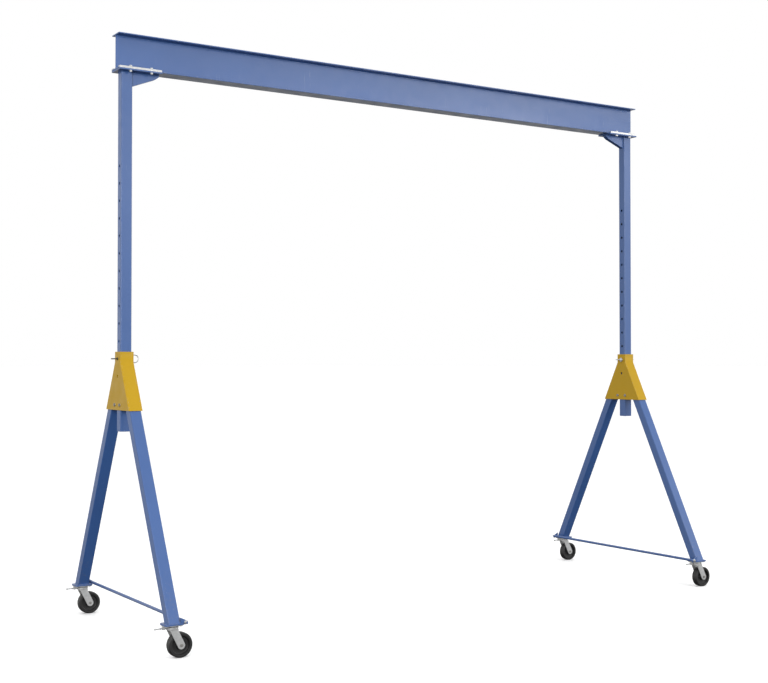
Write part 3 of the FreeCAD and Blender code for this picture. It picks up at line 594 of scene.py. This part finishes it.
def fastener_details(name, body, nut_node, rod_nodes):
    """Washers under the nuts and heads, and threads on the tails, of every rod that a nut sits on."""
    bm = bmesh.new()
    rods = [points for node in rod_nodes for points in islands(node)]
    for nut in islands(nut_node):
        low, high = corners(nut)
        size = high - low
        axis_index = min(range(3), key=lambda i: size[i])
        centre = (low + high) / 2
        for rod in rods:
            rod_low, rod_high = corners(rod)
            inside = all(rod_low[i] - MM < centre[i] < rod_high[i] + MM for i in range(3))
            if inside:
                detail_one(bm, axis_index, (low, high), rod, (rod_low, rod_high))
    if bm.verts:
        piece(name, bm, "zinc", body)
    else:
        bm.free()


def detail_one(bm, k, nut_box, rod, rod_box):
    """The thread and the washers of one rod with its nut, along the axis with index k."""
    nut_low, nut_high = nut_box
    over_low = nut_low[k] - rod_box[0][k]
    over_high = rod_box[1][k] - nut_high[k]
    out = 1 if over_high < over_low else -1
    tail = min(over_low, over_high)
    axis = Vector([out if i == k else 0 for i in range(3)])
    centre = (nut_low + nut_high) / 2
    tip = rod_box[1][k] if out > 0 else rod_box[0][k]
    near_tip = [p for p in rod if abs(p[k] - tip) < 0.5 * MM]
    radius = max((p - centre - axis * ((p - centre).dot(axis))).length for p in near_tip)
    face = Vector(centre)
    face[k] = nut_high[k] if out > 0 else nut_low[k]
    thread(bm, face - axis * MM, axis, tail + MM - 0.4 * MM, radius)
    flats = sorted(nut_high[i] - nut_low[i] for i in range(3) if i != k)[0]
    seat = Vector(centre)
    seat[k] = nut_low[k] if out > 0 else nut_high[k]
    washer(bm, seat, axis, radius + 0.3 * MM, flats * WASHER_REACH)
    wide = [p for p in rod if (p - centre - axis * ((p - centre).dot(axis))).length > radius * 1.35]
    if wide:
        under = max((p[k] * out for p in wide)) * out
        head_seat = Vector(centre)
        head_seat[k] = under
        if abs(under - seat[k]) > 5 * MM:
            washer(bm, head_seat, -axis, radius + 0.3 * MM, flats * WASHER_REACH)


# ---------------------------------------------------------------- wheels

def wheel_outline(low, high):
    """Closed outline of the wheel, (distance along the axle, radius), for its width and radius."""
    half = (high.y - low.y) / 2
    radius = (high.z - low.z) / 2
    tread = half - TREAD_INSET
    step = WEB_HALF + WEB_STEP
    side = [(half - 0.3 * MM, BORE), (half, BORE + 0.7 * MM), (half, BORE + 3.9 * MM),
            (half - 0.6 * MM, BORE + 4.3 * MM), (half - 0.6 * MM, HUB_RADIUS)]
    side += arc((half - 2.6 * MM, HUB_RADIUS + 1 * MM), 2.0 * MM, 0, 60, 4)
    side += arc((WEB_HALF + WEB_FILLET, 40.0 * MM), WEB_FILLET, 250, 180, 6)
    side += [(step - MM, 47.0 * MM), (step, 48.5 * MM), (step, 52.0 * MM), (step - MM, 53.5 * MM)]
    side += arc((WEB_HALF + WEB_FILLET + 0.5 * MM, 66.5 * MM), WEB_FILLET, 180, 110, 6)
    side += arc((tread - 1.5 * MM, TREAD_INNER), 1.5 * MM, 250, 360, 5)
    groove_from, groove_to = TREAD_GROOVE
    side += [(tread, groove_from), (tread - 0.5 * MM, groove_from + 0.6 * MM),
             (tread - 0.5 * MM, groove_to - 0.6 * MM), (tread, groove_to)]
    side += arc((tread - TREAD_ROUNDING, radius - TREAD_ROUNDING - 0.5 * MM), TREAD_ROUNDING, 0, 82, 7)
    crown = [(tread * 0.45, radius - 0.12 * MM), (0, radius)]
    whole = side + crown
    return whole + [(-x, r) for x, r in reversed(whole[:-1])]


def wheels():
    """The four wheels, turned round their axles."""
    for side, end in CORNERS:
        node = f"{side}_{end}_wheel"
        low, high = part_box(node)
        bm = bmesh.new()
        turned(bm, wheel_outline(low, high), (0, 0, 0), (0, 1, 0), WHEEL_SEGMENTS)
        bmesh.ops.recalc_face_normals(bm, faces=bm.faces)
        made = piece(node + "_turned", bm, "black_phenolic", body_of(node), 28.0)
        made.matrix_world = Matrix.Translation((low + high) / 2)
        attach(made, body_of(node))
        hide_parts(node)


# ---------------------------------------------------------------- putting it together

def material_of(node):
    """The material of a CAD node: its slot's, or a variant of it for a few zinc pieces."""
    if node.endswith("height_pin"):
        return PIN_ZINC
    if node.endswith(("axle", "guide_bolts")):
        return DARK_ZINC
    return BY_SLOT[slot_of(node)]


def structure():
    """Give every CAD node its material, and show the plates and tubes with soft edges."""
    for node, made in frame["nodes"].items():
        made.data.materials.clear()
        made.data.materials.append(material_of(node))
    softened("i_beam", BEAM_EDGE)
    softened("clamp_bars", PLATE_EDGE)
    for side in SIDES:
        softened(side + "_upright", TUBE_EDGE)
        for name in ("seat_plate", "gusset", "bracket_outer_plate", "bracket_inner_plate",
                     "bracket_skirts", "foot_plates", "tie_ears", "caster_plates"):
            softened(f"{side}_{name}", PLATE_EDGE)
    for side, end in CORNERS:
        softened(f"{side}_{end}_leg", TUBE_EDGE)
        softened(f"{side}_{end}_fork", CASTING_EDGE)


def details():
    """Welds, washers and threads."""
    fastener_details("clamp_threads", "beam", "clamp_nuts", ["clamp_bolts"])
    for side in SIDES:
        seat_welds(side)
        foot_welds(side)
        fastener_details(side + "_frame_threads", side + "_frame", side + "_frame_nuts",
                         [side + "_tie_rod", side + "_guide_bolts"])


def sky(levels):
    """A grey world whose brightness depends on the height of the direction: (height, brightness) pairs."""
    world = bpy.data.worlds.new("white_studio")
    world.use_nodes = True
    tree = world.node_tree
    parts = add_node(tree, "SeparateXYZ")
    join(tree, add_node(tree, "TexCoord").outputs["Generated"], parts, "Vector")
    ramp = add_node(tree, "ValToRGB")
    join(tree, maths(tree, "MULTIPLY_ADD", parts.outputs["Z"], 0.5, 0.5), ramp, "Fac")
    steps = ramp.color_ramp.elements
    while len(steps) < len(levels):
        steps.new(0.5)
    for step, (height, brightness) in zip(steps, levels):
        step.position = (height + 1) / 2
        step.color = (brightness, brightness, brightness, 1)
    join(tree, ramp.outputs["Color"], tree.nodes["Background"], "Color")
    bpy.context.scene.world = world


def studio():
    """Floor, soft light and the camera."""
    bm = bmesh.new()
    bmesh.ops.create_grid(bm, x_segments=1, y_segments=1, size=FLOOR_REACH)
    mesh = bpy.data.meshes.new("floor")
    bm.to_mesh(mesh)
    bm.free()
    mesh.materials.append(pale_floor("pale_floor"))
    floor = bpy.data.objects.new("floor", mesh)
    bpy.context.scene.collection.objects.link(floor)
    # the floor throws no light back up, so the undersides stay as dark as over a dull workshop floor
    floor.visible_diffuse = False
    floor.visible_glossy = False
    floor.visible_shadow = False

    sky(SKY)
    for name, place, aim, width, height, power in SOFTBOXES:
        softbox(name, place, aim, width, height, power)

    data = bpy.data.cameras.new("camera")
    data.sensor_width = 36.0
    data.lens = CAMERA_LENS
    data.clip_end = 2000.0
    camera = bpy.data.objects.new("camera", data)
    camera.location = CAMERA_AT
    camera.rotation_euler = (math.radians(CAMERA_TILT), 0, math.radians(CAMERA_TURN))
    bpy.context.scene.collection.objects.link(camera)
    bpy.context.scene.camera = camera
    bpy.context.scene.view_settings.view_transform = "Standard"


def softbox(name, place, aim, width, height, power):
    """A rectangular soft light at place, turned to aim."""
    data = bpy.data.lights.new(name, "AREA")
    data.shape = "RECTANGLE"
    data.size = width
    data.size_y = height
    data.energy = power
    made = bpy.data.objects.new(name, data)
    made.location = place
    made.rotation_euler = (Vector(aim) - Vector(place)).to_track_quat("-Z", "Y").to_euler()
    made.visible_camera = False
    bpy.context.scene.collection.objects.link(made)


structure()
details()
wheels()
studio()
